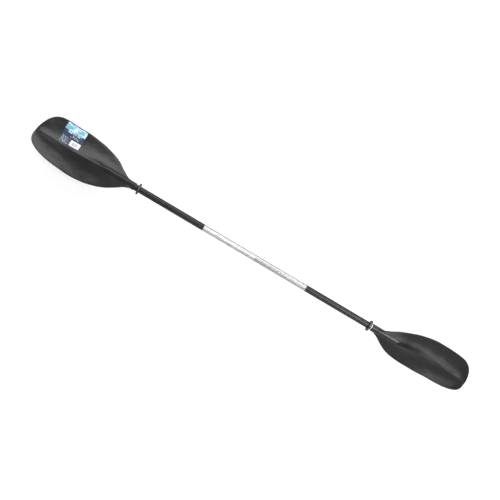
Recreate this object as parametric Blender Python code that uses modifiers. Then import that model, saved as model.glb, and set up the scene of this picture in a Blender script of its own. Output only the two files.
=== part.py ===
"""Two-piece kayak paddle: mirrored dihedral blades on an aluminium shaft.

The shaft lies along X and its centre joint is at the origin. The left blade, at -X, lies flat with
its power face up. The right half is the left half's mirror image, turned about the shaft by the
feather angle. Metres, +Z up.
"""

import math

import bmesh
import bpy
import numpy as np
from mathutils import Matrix, Vector

# Driving dimensions
HALF_LENGTH = 1.100
FEATHER = math.radians(60)
GAP = 0.0003
TUBE_R = 0.0140
TUBE_BORE_R = 0.0128
TUBE_END = 0.725
ROUND_STEPS = 48

# Blade, as distances from the middle of the paddle along the shaft
MOUTH = 0.607
SOCKET_R = 0.0172
SOCKET_BORE_R = TUBE_R + GAP
SOCKET_BORE_END = TUBE_END + 0.002
BLADE_T = 0.0032
CORNER_START = 0.960
TIP_Y = -0.0225
UPPER_CORNER = (3.8, 1.6)
LOWER_CORNER = (2.25, 2.9)

# Grips and drip rings
GRIP_R = 0.0149
GRIP_INNER = 0.262
GRIP_OUTER = {"left": 0.6066, "right": 0.6010}
RING_X = {"left": 0.5895, "right": 0.5930}
RING_R = 0.0260
RING_BORE_R = GRIP_R + GAP
RING_COCK = {"left": math.radians(1.5), "right": math.radians(5)}
COCK_ROLL = math.radians(21)

# Centre joint
FERRULE_R = TUBE_BORE_R - GAP
FERRULE_BORE_R = 0.0105
FERRULE_LEFT = -0.085
FERRULE_RIGHT = 0.105
SEAL_X = 0.030
SEAL_WIRE_R = 0.00055
BUTTON_X = 0.014
BUTTON_R = 0.0031
BUTTON_TIP_R = 0.0160
BUTTON_HOLE_R = BUTTON_R + GAP
FERRULE_RIVETS_X = (-0.040, -0.066)

# Blind rivets and foam plugs
RIVET_SHANK_R = 0.0020
RIVET_HEAD_R = 0.0034
RIVET_HEAD_H = 0.0011
BLADE_RIVETS_X = (0.628, 0.660)
FOAM_R = TUBE_BORE_R - GAP
END_PLUG = (0.695, 0.722)
LEFT_BUNG = (0.092, 0.122)
RIGHT_BUNG = (0.124, 0.154)

# Label on the left blade: from and to, along the shaft and across it
LABEL_X = (0.901, 0.9985)
LABEL_Y = (0.009, 0.1085)
LABEL_T = 0.0003


def clear_scene():
    for obj in list(bpy.data.objects):
        bpy.data.objects.remove(obj, do_unlink=True)


def new_collection(name):
    collection = bpy.data.collections.new(name)
    bpy.context.scene.collection.children.link(collection)
    return collection


def material(name, colour, roughness, metallic=0.0):
    made = bpy.data.materials.new(name)
    made.use_nodes = True
    shader = made.node_tree.nodes["Principled BSDF"]
    shader.inputs["Base Color"].default_value = (*colour, 1.0)
    shader.inputs["Roughness"].default_value = roughness
    shader.inputs["Metallic"].default_value = metallic
    return made


def add_object(name, mesh, collection, parent, surface=None):
    obj = bpy.data.objects.new(name, mesh)
    collection.objects.link(obj)
    obj.parent = parent
    if surface:
        mesh.materials.append(surface)
    return obj


def frame_empty(name, collection, roll=0.0, x=0.0, parent=None):
    """An empty on the shaft's axis, turned about it."""
    empty = bpy.data.objects.new(name, None)
    collection.objects.link(empty)
    empty.parent = parent
    empty.location.x = x
    empty.rotation_euler.x = roll
    return empty


def shade(mesh):
    mesh.shade_smooth()
    mesh.set_sharp_from_angle(angle=math.radians(35))


# Turned pieces: a profile of (height, radius) points, turned about the object's Z


def turned(name, profile, collection, parent, surface=None, closed=True, steps=ROUND_STEPS):
    """A solid of revolution. Its outer side runs down, from top to bottom."""
    mesh = bpy.data.meshes.new(name)
    points = [(radius, 0.0, height) for height, radius in profile]
    edges = [(n, n + 1) for n in range(len(points) - 1)]
    if closed:
        edges.append((len(points) - 1, 0))
    mesh.from_pydata(points, edges, [])
    obj = add_object(name, mesh, collection, parent, surface)
    screw = obj.modifiers.new("turn", "SCREW")
    screw.steps = steps
    screw.render_steps = steps
    screw.use_merge_vertices = True
    screw.merge_threshold = 0.00001
    screw.use_smooth_shade = True
    return obj


def along_x(obj, x=0.0, towards=1):
    """Lays a turned piece's Z along the shaft, towards +X or -X."""
    obj.rotation_euler.y = towards * math.pi / 2
    obj.location.x = x
    return obj


def sleeve_profile(start, end, inner, outer, lead=0.0):
    """A plain tube's section, with an optional bevel on its outer corners."""
    if not lead:
        return [(end, outer), (start, outer), (start, inner), (end, inner)]
    return [
        (end - lead, outer),
        (start + lead, outer),
        (start, outer - lead),
        (start, inner),
        (end, inner),
        (end, outer - lead),
    ]


def disc_profile(start, end, radius, lead):
    """A solid cylinder's section, from axis to axis, with bevelled ends."""
    return [
        (end, 0.0),
        (end, radius - lead),
        (end - lead, radius),
        (start + lead, radius),
        (start, radius - lead),
        (start, 0.0),
    ]


# Cutters


def drill(name, radius, x, angle, inner, outer, collection, parent, steps=20):
    """A cylinder that stands out from the shaft's axis at an angle about it."""
    mesh = bpy.data.meshes.new(name)
    shape = bmesh.new()
    bmesh.ops.create_cone(
        shape, cap_ends=True, segments=steps, radius1=radius, radius2=radius, depth=outer - inner
    )
    bmesh.ops.translate(shape, vec=Vector((0.0, 0.0, (inner + outer) / 2)), verts=shape.verts)
    shape.to_mesh(mesh)
    shape.free()
    obj = add_object(name, mesh, collection, parent)
    stand_out(obj, x, angle)
    hide_cutter(obj)
    return obj


def stand_out(obj, x, angle):
    """Points an object's Z away from the shaft's axis, at an angle from +Y towards +Z."""
    obj.rotation_euler.x = angle - math.pi / 2
    obj.location.x = x
    return obj


def hide_cutter(obj):
    obj.hide_render = True
    obj.display_type = "WIRE"


def cut(obj, cutter):
    boolean = obj.modifiers.new("cut", "BOOLEAN")
    boolean.operation = "DIFFERENCE"
    boolean.solver = "EXACT"
    boolean.object = cutter


# Blade shape: x is the distance from the middle of the paddle, y is across, z is out of the face


def smooth_curve(points, x):
    """A smooth curve through points, with slopes that keep it from overshooting."""
    px, py = (np.array(values) for values in zip(*points))
    width = np.diff(px)
    slope = np.diff(py) / width
    tangent = np.zeros(len(px))
    tangent[0], tangent[-1] = slope[0], slope[-1]
    for n in range(1, len(px) - 1):
        if slope[n - 1] * slope[n] > 0:
            tangent[n] = 2 * slope[n - 1] * slope[n] / (slope[n - 1] + slope[n])
    at = np.clip(np.asarray(x, float), px[0], px[-1])
    n = np.clip(np.searchsorted(px, at, side="right") - 1, 0, len(width) - 1)
    t = (at - px[n]) / width[n]
    return (
        py[n] * (1 + 2 * t) * (1 - t) ** 2
        + py[n + 1] * t**2 * (3 - 2 * t)
        + width[n] * t * (1 - t) * (tangent[n] * (1 - t) - tangent[n + 1] * t)
    )


UPPER_EDGE = (
    (0.607, 0.0172), (0.640, 0.0175), (0.682, 0.0375), (0.720, 0.0645), (0.760, 0.0830),
    (0.820, 0.1020), (0.900, 0.1130), (0.980, 0.1135), (1.100, 0.1170),
)
LOWER_EDGE = (
    (0.607, 0.0172), (0.624, 0.0200), (0.648, 0.0300), (0.682, 0.0540), (0.720, 0.0770),
    (0.760, 0.0920), (0.820, 0.1040), (0.880, 0.1070), (0.950, 0.1020), (1.100, 0.0915),
)
EDGE_LEVEL = (
    (0.607, 0.0), (0.655, 0.0050), (0.720, 0.0030), (0.760, -0.0010), (0.805, -0.0070),
    (0.870, -0.0125), (0.930, -0.0120), (1.000, -0.0055), (1.100, 0.0090),
)
RIDGE_HEIGHT = (
    (0.607, 0.0), (0.700, 0.0040), (0.760, 0.0110), (0.800, 0.0130), (0.850, 0.0125),
    (0.900, 0.0105), (0.950, 0.0080), (1.050, 0.0055), (1.080, 0.0035), (1.100, 0.0010),
)
RIDGE_WIDTH = (
    (0.607, 0.020), (0.780, 0.026), (0.870, 0.036), (0.950, 0.030), (1.050, 0.022), (1.100, 0.020),
)
BACK_FOLLOWS = ((0.607, 0.0), (0.780, 0.25), (0.860, 0.65), (0.950, 0.85), (1.100, 1.0))
CUP = ((0.607, 0.0), (0.700, 0.0), (0.800, 0.0040), (1.000, 0.0085), (1.060, 0.0085), (1.100, 0.0040))
SOCKET_HALF_WIDTH = (
    (0.607, 0.0172), (0.735, 0.0165), (0.765, 0.0130), (0.800, 0.0085), (0.840, 0.0050),
)
SOCKET_HALF_HEIGHT = (
    (0.607, 0.0172), (0.735, 0.0165), (0.765, 0.0120), (0.800, 0.0060), (0.840, 0.0010),
)
SOCKET_LEVEL = ((0.607, 0.0), (0.735, 0.0), (0.765, -0.0015), (0.800, -0.0060), (0.840, -0.0110))
MIDDLE_BAND = ((0.607, 0.0190), (0.760, 0.0200), (0.850, 0.0420), (1.100, 0.0420))
RIDGE_ROUNDING = 0.006
FILLET = 0.004
RIM_POWER = 12
TIP_RIM_POWER = 24
SOCKET_SIDE_SLOPE = 2.5


def corner(x, powers):
    """How much of the full width is left on the way round a corner at the tip."""
    q = np.clip((np.asarray(x) - CORNER_START) / (HALF_LENGTH - CORNER_START), 0, 1)
    return (1 - q ** powers[0]) ** (1 / powers[1])


def upper_edge(x):
    return TIP_Y + (smooth_curve(UPPER_EDGE, x) - TIP_Y) * corner(x, UPPER_CORNER)


def lower_edge(x):
    return TIP_Y - (smooth_curve(LOWER_EDGE, x) + TIP_Y) * corner(x, LOWER_CORNER)


def across(x, y):
    """Where y lies between the shaft's line and an edge, from 0 to 1."""
    edge = np.where(y >= 0, upper_edge(x), -lower_edge(x))
    return np.clip(np.abs(y) / np.maximum(edge, 1e-6), 0, 1)


def rim_share(x, y):
    """The share of the full thickness, which falls to 0 at the rim."""
    middle = (upper_edge(x) + lower_edge(x)) / 2
    half = np.maximum((upper_edge(x) - lower_edge(x)) / 2, 1e-6)
    v = np.clip(np.abs(y - middle) / half, 0, 1)
    s = np.clip((x - MOUTH) / (HALF_LENGTH - MOUTH), 0, 1)
    return np.sqrt(1 - v**RIM_POWER) * np.sqrt(1 - s**TIP_RIM_POWER)


def smooth_max(a, b, k):
    h = np.maximum(k - np.abs(a - b), 0) / np.maximum(k, 1e-9)
    return np.maximum(a, b) + h * h * k / 4


def faces_of_blade(x, y):
    """The heights of the power face and of the back over a point of the blade."""
    v = across(x, y)
    cup = smooth_curve(CUP, x)
    valley = smooth_curve(EDGE_LEVEL, x) - cup * (1 - v**2)
    away = np.sqrt(y**2 + RIDGE_ROUNDING**2) - RIDGE_ROUNDING
    fade = 1 - v**4
    ridge = smooth_curve(RIDGE_HEIGHT, x) * np.exp(-away / smooth_curve(RIDGE_WIDTH, x)) * fade
    half = BLADE_T / 2 * rim_share(x, y)
    front = valley + ridge + half
    back = valley + ridge * smooth_curve(BACK_FOLLOWS, x) - half
    wide = smooth_curve(SOCKET_HALF_WIDTH, x)
    inside = np.sqrt(np.clip(1 - (y / wide) ** 2, 0, 1)) * smooth_curve(SOCKET_HALF_HEIGHT, x)
    outside = np.maximum(np.abs(y) - wide, 0) * SOCKET_SIDE_SLOPE
    bulge = inside - outside
    level = smooth_curve(SOCKET_LEVEL, x)
    fillet = FILLET * (1 - v**6)
    return smooth_max(front, level + bulge, fillet), -smooth_max(-back, -(level - bulge), fillet)


def stations(along_neck, along_face, round_tip):
    """Places of the cross-sections, closer together at the neck and round the tip."""
    neck = np.linspace(MOUTH, 0.750, along_neck, endpoint=False)
    face = np.linspace(0.750, CORNER_START, along_face, endpoint=False)
    turn = np.sin(np.linspace(0, math.pi / 2, round_tip))
    tip = CORNER_START + (HALF_LENGTH - CORNER_START) * turn
    tip[-1] = HALF_LENGTH - 0.0003
    return np.concatenate([neck, face, tip])


def across_samples(x, to_edge, middle):
    """Places across a section, from the upper edge to the lower, closest at the edges."""
    up, low = float(upper_edge(x)), float(lower_edge(x))
    band = float(smooth_curve(MIDDLE_BAND, x))
    top = min(band, low + 0.8 * (up - low))
    bottom = max(-band, low + 0.2 * (up - low))
    ease = np.sin(np.linspace(0, math.pi / 2, to_edge + 1))
    return np.concatenate([
        (top + (up - top) * ease)[::-1],
        np.linspace(top, bottom, middle + 1)[1:-1],
        bottom + (low - bottom) * ease,
    ])


def blade_mesh(name, side):
    """A loft from the round socket's mouth to the tip. side is -1 for the left blade, 1 for the right."""
    rings = []
    for x in stations(11, 14, 13):
        y = across_samples(x, 5, 10)
        front, back = faces_of_blade(np.full(len(y), x), y)
        rim = (front[[0, -1]] + back[[0, -1]]) / 2
        front[0], front[-1] = rim
        top = [(side * x, a, b) for a, b in zip(y, front)]
        under = [(side * x, a, b) for a, b in zip(y[1:-1], back[1:-1])]
        rings.append(top + under[::-1])
    shape = bmesh.new()
    verts = [[shape.verts.new(p) for p in ring] for ring in rings]
    count = len(verts[0])
    for one, other in zip(verts, verts[1:]):
        for n in range(count):
            shape.faces.new((one[n], one[(n + 1) % count], other[(n + 1) % count], other[n]))
    shape.faces.new(verts[0])
    shape.faces.new(verts[-1])
    bmesh.ops.recalc_face_normals(shape, faces=shape.faces)
    mesh = bpy.data.meshes.new(name)
    shape.to_mesh(mesh)
    shape.free()
    shade(mesh)
    return mesh


def add_blade(name, side, parts, cutters, parent, surface):
    blade = add_object(name, blade_mesh(name, side), parts, parent, surface)
    bore = turned(
        f"{name}_bore", disc_profile(MOUTH - 0.01, SOCKET_BORE_END, SOCKET_BORE_R, 0.0005),
        cutters, parent, closed=False,
    )
    along_x(bore, towards=side)
    hide_cutter(bore)
    cut(blade, bore)
    for n, x in enumerate(BLADE_RIVETS_X, 1):
        hole = drill(
            f"{name}_hole_{n}", RIVET_SHANK_R + GAP, side * x, -math.pi / 2, 0.004, 0.024,
            cutters, parent,
        )
        cut(blade, hole)
    return blade


# Pieces of one half of the shaft


def add_tube(name, side, parts, cutters, parent, surface):
    tube = turned(
        name, sleeve_profile(GAP / 2, TUBE_END, TUBE_BORE_R, TUBE_R, 0.0003), parts, parent, surface
    )
    along_x(tube, towards=side)
    for n, x in enumerate(BLADE_RIVETS_X, 1):
        hole = drill(
            f"{name}_blade_hole_{n}", RIVET_SHANK_R + GAP, side * x, -math.pi / 2, 0.004, 0.024,
            cutters, parent,
        )
        cut(tube, hole)
    return tube


def add_grip(name, side, outer_end, parts, parent, surface):
    grip = turned(
        name, sleeve_profile(GRIP_INNER, outer_end, TUBE_R + GAP, GRIP_R, 0.0003),
        parts, parent, surface,
    )
    return along_x(grip, towards=side)


def add_ring(name, side, cock, parts, cutters, parent, surface):
    """A rubber drip ring, cocked a little on the shaft, with a bore that follows the shaft."""
    half_section = [
        (0.0055, 0.0100), (0.0055, 0.0176), (0.0052, 0.0190), (0.0049, 0.0238),
        (0.0043, 0.0252), (0.0030, 0.0258), (0.0012, RING_R),
    ]
    profile = half_section + [(-height, radius) for height, radius in reversed(half_section)]
    ring = turned(name, profile, parts, parent, surface, steps=40)
    cock_axis = Vector((0, -math.sin(COCK_ROLL), math.cos(COCK_ROLL)))
    cocked = Matrix.Rotation(side * -cock, 4, cock_axis)
    lying = Matrix.Rotation(side * math.pi / 2, 4, "Y")
    ring.matrix_local = cocked @ lying
    bore = turned(
        f"{name}_bore", disc_profile(-0.02, 0.02, RING_BORE_R, 0.0005), cutters, parent, closed=False
    )
    along_x(bore)
    hide_cutter(bore)
    cut(ring, bore)
    return ring


def add_foam(name, side, ends, parts, parent, surface):
    foam = turned(name, disc_profile(*ends, FOAM_R, 0.0008), parts, parent, surface, closed=False, steps=32)
    return along_x(foam, towards=side)


def add_rivet(name, x, seat, tail, parts, parent, surface):
    """A blind rivet in the back of the shaft: a domed head outside, a shank, and a set tail inside."""
    profile = [
        (seat + RIVET_HEAD_H, 0.0),
        (seat + RIVET_HEAD_H * 0.92, RIVET_HEAD_R * 0.45),
        (seat + RIVET_HEAD_H * 0.62, RIVET_HEAD_R * 0.80),
        (seat + RIVET_HEAD_H * 0.20, RIVET_HEAD_R),
        (seat, RIVET_HEAD_R),
        (seat, RIVET_SHANK_R),
        (tail, RIVET_SHANK_R),
        (tail - 0.0004, RIVET_SHANK_R + 0.0009),
        (tail - 0.0018, RIVET_SHANK_R + 0.0009),
        (tail - 0.0026, RIVET_SHANK_R),
        (tail - 0.0030, 0.0),
    ]
    rivet = turned(name, profile, parts, parent, surface, closed=False, steps=14)
    return stand_out(rivet, x, -math.pi / 2)


def add_blade_rivets(name, side, parts, parent, surface):
    for n, x in enumerate(BLADE_RIVETS_X, 1):
        add_rivet(
            f"{name}_{n}", side * x, SOCKET_R + GAP + 0.0003, TUBE_BORE_R - GAP, parts, parent, surface
        )


# Centre joint


def add_ferrule(parts, cutters, parent, surface):
    groove = SEAL_WIRE_R + GAP
    bottom = FERRULE_R - 2 * SEAL_WIRE_R - 0.0002
    profile = [
        (FERRULE_RIGHT, FERRULE_R - 0.0005),
        (FERRULE_RIGHT - 0.0005, FERRULE_R),
        (SEAL_X + groove, FERRULE_R),
        (SEAL_X + groove, bottom),
        (SEAL_X - groove, bottom),
        (SEAL_X - groove, FERRULE_R),
        (FERRULE_LEFT + 0.0005, FERRULE_R),
        (FERRULE_LEFT, FERRULE_R - 0.0005),
        (FERRULE_LEFT, FERRULE_BORE_R),
        (FERRULE_RIGHT, FERRULE_BORE_R),
    ]
    ferrule = along_x(turned("ferrule_sleeve", profile, parts, parent, surface))
    cut(ferrule, drill(
        "ferrule_button_hole", BUTTON_HOLE_R, BUTTON_X, -math.pi / 2, 0.004, 0.024, cutters, parent
    ))
    for n, x in enumerate(FERRULE_RIVETS_X, 1):
        cut(ferrule, drill(
            f"ferrule_hole_{n}", RIVET_SHANK_R + GAP, x, -math.pi / 2, 0.004, 0.024, cutters, parent
        ))
    return ferrule


def add_end_cap(parts, parent, surface):
    """A lead-in plug in the ferrule's free end."""
    start = FERRULE_RIGHT - 0.010
    face = FERRULE_RIGHT + GAP
    profile = [
        (face + 0.0090, 0.0),
        (face + 0.0090, 0.0085),
        (face + 0.0075, 0.0098),
        (face + 0.0020, 0.0121),
        (face, 0.0122),
        (face, FERRULE_BORE_R - GAP),
        (start + 0.001, FERRULE_BORE_R - GAP),
        (start, FERRULE_BORE_R - GAP - 0.001),
        (start, 0.0),
    ]
    cap = turned("ferrule_end_cap", profile, parts, parent, surface, closed=False, steps=40)
    return along_x(cap)


def add_seal(parts, parent, surface):
    middle_r = TUBE_BORE_R - 0.0002 - SEAL_WIRE_R
    turns = [2 * math.pi * n / 8 for n in range(8)]
    profile = [(SEAL_WIRE_R * math.sin(-a), middle_r + SEAL_WIRE_R * math.cos(a)) for a in turns]
    return along_x(turned("ferrule_o_ring", profile, parts, parent, surface, steps=32), SEAL_X)


def add_button(parts, parent, surface):
    """The lock's button, standing out of the back through the ferrule and the right tube."""
    flange_top = FERRULE_BORE_R - 2 * GAP
    profile = [
        (BUTTON_TIP_R, 0.0),
        (BUTTON_TIP_R - 0.0002, 0.0013),
        (BUTTON_TIP_R - 0.0008, 0.0024),
        (BUTTON_TIP_R - 0.0018, BUTTON_R),
        (flange_top, BUTTON_R),
        (flange_top - 0.0004, 0.0040),
        (flange_top - 0.0012, 0.0040),
        (flange_top - 0.0012, 0.0),
    ]
    button = turned("snap_button", profile, parts, parent, surface, closed=False, steps=24)
    return stand_out(button, 0.0, -math.pi / 2)


def add_spring(parts, parent, surface):
    """A V-shaped leaf spring: one leg under the button, a round bend, one leg on the far wall."""
    bend_x, bend_r = 0.062, 0.0030
    turns = [math.radians(a) for a in range(-80, 81, 20)]
    line = [(0.004, -0.00815), (0.022, -0.00815)]
    line += [(bend_x + bend_r * math.cos(a), bend_r * math.sin(a)) for a in turns]
    line += [(0.022, 0.0088), (0.010, 0.0093), (0.004, 0.0086)]
    half_width = 0.0035
    mesh = bpy.data.meshes.new("snap_spring")
    points = [(x, y, z) for x, z in line for y in (-half_width, half_width)]
    faces = [(2 * n, 2 * n + 1, 2 * n + 3, 2 * n + 2) for n in range(len(line) - 1)]
    mesh.from_pydata(points, [], faces)
    spring = add_object("snap_spring", mesh, parts, parent, surface)
    solid = spring.modifiers.new("leaf", "SOLIDIFY")
    solid.thickness = 0.0006
    solid.offset = 0.0
    solid.use_even_offset = True
    return spring


def drill_button_holes(tube, cutters, parent):
    """Three holes, so the right blade can be set to either feather or to none."""
    for n in range(3):
        angle = -math.pi / 2 + (n - 1) * FEATHER
        cut(tube, drill(
            f"button_hole_{n}", BUTTON_HOLE_R, BUTTON_X, angle, 0.004, 0.024, cutters, parent, steps=24
        ))


def add_label(parts, parent, surface):
    """A thin sticker that lies on the left blade's power face."""
    columns = np.linspace(*LABEL_X, 13)
    rows = np.linspace(*LABEL_Y, 13)
    mesh = bpy.data.meshes.new("blade_label")
    points = []
    for lift in (GAP, GAP + LABEL_T):
        for x in columns:
            front, _ = faces_of_blade(np.full(len(rows), x), rows)
            points += [(-x, y, z + lift) for y, z in zip(rows, front)]
    deep, wide = len(rows), len(columns)
    layer = deep * wide
    faces = []
    for i in range(wide - 1):
        for j in range(deep - 1):
            a = i * deep + j
            faces.append((a, a + 1, a + deep + 1, a + deep))
            b = a + layer
            faces.append((b, b + deep, b + deep + 1, b + 1))
    around = [*range(deep)]
    around += [i * deep + deep - 1 for i in range(1, wide)]
    around += [(wide - 1) * deep + j for j in range(deep - 2, -1, -1)]
    around += [i * deep for i in range(wide - 2, 0, -1)]
    for a, b in zip(around, around[1:] + around[:1]):
        faces.append((a, a + layer, b + layer, b))
    mesh.from_pydata(points, [], faces)
    shape = bmesh.new()
    shape.from_mesh(mesh)
    bmesh.ops.recalc_face_normals(shape, faces=shape.faces)
    shape.to_mesh(mesh)
    shape.free()
    return add_object("blade_label", mesh, parts, parent, surface)


def main():
    clear_scene()
    parts = new_collection("kayak_paddle")
    cutters = new_collection("cutters")

    plastic = material("blade_plastic", (0.050, 0.051, 0.053), 0.45)
    aluminium = material("shaft_aluminium", (0.80, 0.80, 0.81), 0.30, 1.0)
    grip_rubber = material("grip_sleeve", (0.030, 0.030, 0.032), 0.75)
    ring_rubber = material("ring_rubber", (0.035, 0.035, 0.037), 0.65)
    nylon = material("ferrule_nylon", (0.040, 0.041, 0.043), 0.50)
    rivet_metal = material("rivet_aluminium", (0.62, 0.62, 0.63), 0.35, 1.0)
    steel = material("spring_steel", (0.60, 0.60, 0.61), 0.25, 1.0)
    foam = material("foam", (0.72, 0.72, 0.70), 0.90)
    film = material("label_film", (0.040, 0.080, 0.200), 0.35)

    halves = {
        "left": (-1, frame_empty("left_half", parts)),
        "right": (1, frame_empty("right_half", parts, roll=FEATHER)),
    }
    for hand, (side, half) in halves.items():
        add_blade(f"{hand}_blade", side, parts, cutters, half, plastic)
        tube = add_tube(f"{hand}_shaft_tube", side, parts, cutters, half, aluminium)
        add_grip(f"{hand}_grip", side, GRIP_OUTER[hand], parts, half, grip_rubber)
        ring_frame = frame_empty(f"{hand}_ring_frame", parts, x=side * RING_X[hand])
        add_ring(
            f"{hand}_drip_ring", side, RING_COCK[hand], parts, cutters, ring_frame, ring_rubber
        )
        add_blade_rivets(f"{hand}_blade_rivet", side, parts, half, rivet_metal)
        add_foam(f"{hand}_end_plug", side, END_PLUG, parts, half, foam)
        if side > 0:
            drill_button_holes(tube, cutters, half)
            add_foam("right_bung", side, RIGHT_BUNG, parts, half, foam)
        else:
            for n, x in enumerate(FERRULE_RIVETS_X, 1):
                cut(tube, drill(
                    f"left_tube_hole_{n}", RIVET_SHANK_R + GAP, x, -math.pi / 2, 0.004, 0.024,
                    cutters, half,
                ))
            add_foam("left_bung", side, LEFT_BUNG, parts, half, foam)

    left = halves["left"][1]
    add_ferrule(parts, cutters, left, nylon)
    add_end_cap(parts, left, nylon)
    for n, x in enumerate(FERRULE_RIVETS_X, 1):
        add_rivet(
            f"ferrule_rivet_{n}", x, TUBE_R + GAP, FERRULE_BORE_R - GAP, parts, left, rivet_metal
        )
    add_seal(parts, left, ring_rubber)
    button_frame = frame_empty("button_frame", parts, x=BUTTON_X, parent=left)
    add_button(parts, button_frame, steel)
    add_spring(parts, left, steel)
    add_label(parts, left, film)


main()
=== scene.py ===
"""The looks of a take-apart kayak paddle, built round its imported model.

The shaft lies along X with its centre joint at the origin. The left blade, at -X, lies flat with
its power face up; the right half is its mirror image, turned about the shaft by the feather angle.
Metres, +Z up.
"""

import math

import bmesh
import bpy
import numpy as np
from mathutils import Matrix, Vector


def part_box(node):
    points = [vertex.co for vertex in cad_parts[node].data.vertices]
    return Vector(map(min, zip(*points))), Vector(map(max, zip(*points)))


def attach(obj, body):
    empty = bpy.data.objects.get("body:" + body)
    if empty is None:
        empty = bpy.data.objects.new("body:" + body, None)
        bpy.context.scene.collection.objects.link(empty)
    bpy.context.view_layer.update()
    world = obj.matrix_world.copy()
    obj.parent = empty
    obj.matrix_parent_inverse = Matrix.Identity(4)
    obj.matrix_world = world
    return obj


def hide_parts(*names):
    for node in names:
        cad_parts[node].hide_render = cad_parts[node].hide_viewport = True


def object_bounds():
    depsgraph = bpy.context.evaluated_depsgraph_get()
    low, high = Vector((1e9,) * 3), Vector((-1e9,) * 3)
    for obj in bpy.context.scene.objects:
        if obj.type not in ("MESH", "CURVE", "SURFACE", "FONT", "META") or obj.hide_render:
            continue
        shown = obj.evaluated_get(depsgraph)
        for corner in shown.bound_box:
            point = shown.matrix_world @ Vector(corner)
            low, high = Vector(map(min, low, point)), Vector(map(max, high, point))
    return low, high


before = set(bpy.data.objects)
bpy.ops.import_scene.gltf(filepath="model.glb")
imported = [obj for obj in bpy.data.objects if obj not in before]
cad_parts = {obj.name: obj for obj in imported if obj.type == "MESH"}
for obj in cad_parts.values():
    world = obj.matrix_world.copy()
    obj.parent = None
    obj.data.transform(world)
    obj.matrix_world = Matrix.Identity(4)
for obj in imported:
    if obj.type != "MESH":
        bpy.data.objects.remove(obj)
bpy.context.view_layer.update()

# Driving dimensions, as distances from the middle of the paddle and from the shaft's axis
HALF_LENGTH = 1.100
FEATHER = math.radians(60)
GAP = 0.0003
TUBE_R = 0.0140
TUBE_BORE_R = 0.0128
TUBE_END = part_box("right_shaft_tube")[1].x
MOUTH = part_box("right_blade")[0].x
SOCKET_R = 0.0172
SOCKET_BORE_R = TUBE_R + GAP
SOCKET_BORE_END = TUBE_END + 0.002
BLADE_T = 0.0032
CORNER_START = 0.960
TIP_Y = -0.0225
UPPER_CORNER = (3.8, 1.6)
LOWER_CORNER = (2.25, 2.9)

GRIP_R = 0.0149
GRIP_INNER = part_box("right_grip")[0].x
GRIP_OUTER = {"left": -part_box("left_grip")[0].x, "right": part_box("right_grip")[1].x}
RING_X = {"left": 0.5895, "right": 0.5930}
RING_R = 0.0260
RING_BORE_R = GRIP_R + GAP
RING_COCK = {"left": math.radians(1.5), "right": math.radians(5)}
VIEW_ROLL = math.radians(21)

FERRULE_R = TUBE_BORE_R - GAP
FERRULE_BORE_R = 0.0105
FERRULE_LEFT, FERRULE_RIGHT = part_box("ferrule_sleeve")[0].x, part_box("ferrule_sleeve")[1].x
SEAL_X = 0.030
SEAL_WIRE_R = 0.00055
BUTTON_X = 0.014
BUTTON_R = 0.0031
BUTTON_TIP_R = 0.0160
BUTTON_HOLE_R = BUTTON_R + GAP
FERRULE_RIVETS_X = (-0.040, -0.066)

RIVET_SHANK_R = 0.0020
RIVET_HEAD_R = 0.0034
RIVET_HEAD_H = 0.0011
BLADE_RIVETS_X = (0.628, 0.660)
FOAM_R = TUBE_BORE_R - GAP
END_PLUG = (0.695, 0.722)
LEFT_BUNG = (0.092, 0.122)
RIGHT_BUNG = (0.124, 0.154)

LABEL_X = (0.901, 0.9985)
LABEL_Y = (0.009, 0.1085)
LABEL_T = 0.0003
LABEL_CORNER = 0.004

LABEL_BAND_LOW = 0.0765
LABEL_PANEL = ((-0.9475, -0.9005), (0.0147, 0.0425))

BACK = -math.pi / 2
SMOOTH_ANGLE = math.radians(35)
DRILL_REACH = (0.004, 0.024)

# Camera: distance, lens and the shaft's slope in the picture
CAMERA_DISTANCE = 5.0
LENS_MM = 81.9
SHAFT_YAW = math.radians(5.01)
SHAFT_SLOPE = math.radians(30.67)
AIM_RIGHT, AIM_UP = -0.0209, 0.0346

# Floor: half its width, how far it lies below the paddle, its own grey and its glow
FLOOR_HALF = 14.0
FLOOR_DROP = 0.0005
FLOOR_GREY = 0.16
FLOOR_GLOW = 0.78


# Mesh helpers


def from_bmesh(name, shape):
    """A mesh of the shape, smooth except at edges sharper than SMOOTH_ANGLE."""
    bmesh.ops.recalc_face_normals(shape, faces=shape.faces)
    mesh = bpy.data.meshes.new(name)
    shape.to_mesh(mesh)
    shape.free()
    mesh.shade_smooth()
    mesh.set_sharp_from_angle(angle=SMOOTH_ANGLE)
    return mesh


def rounded(corners, radius, steps=4):
    """A closed outline of (along, out) corners, each rounded unless it lies on the axis."""
    made = []
    count = len(corners)
    for n, corner in enumerate(corners):
        here = Vector(corner[:2])
        r = corner[2] if len(corner) > 2 else radius
        back = Vector(corners[n - 1][:2]) - here
        on = Vector(corners[(n + 1) % count][:2]) - here
        if here.y < 1e-9 or r <= 0:
            made.append(tuple(here))
            continue
        reach = min(r, back.length * 0.45, on.length * 0.45)
        start, end = here + back.normalized() * reach, here + on.normalized() * reach
        for k in range(steps + 1):
            t = k / steps
            made.append(tuple(start * (1 - t) ** 2 + here * 2 * t * (1 - t) + end * t**2))
    return made


def lathe(name, outline, steps=96):
    """A closed solid of revolution about X, from an outline of (x, radius) points."""
    shape = bmesh.new()
    rings = []
    for x, radius in outline:
        if radius < 1e-9:
            rings.append([shape.verts.new((x, 0.0, 0.0))])
            continue
        turns = [2 * math.pi * n / steps for n in range(steps)]
        circle = [(x, radius * math.cos(a), radius * math.sin(a)) for a in turns]
        rings.append([shape.verts.new(point) for point in circle])
    for one, other in zip(rings, rings[1:] + rings[:1]):
        bridge(shape, one, other)
    return from_bmesh(name, shape)


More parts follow.
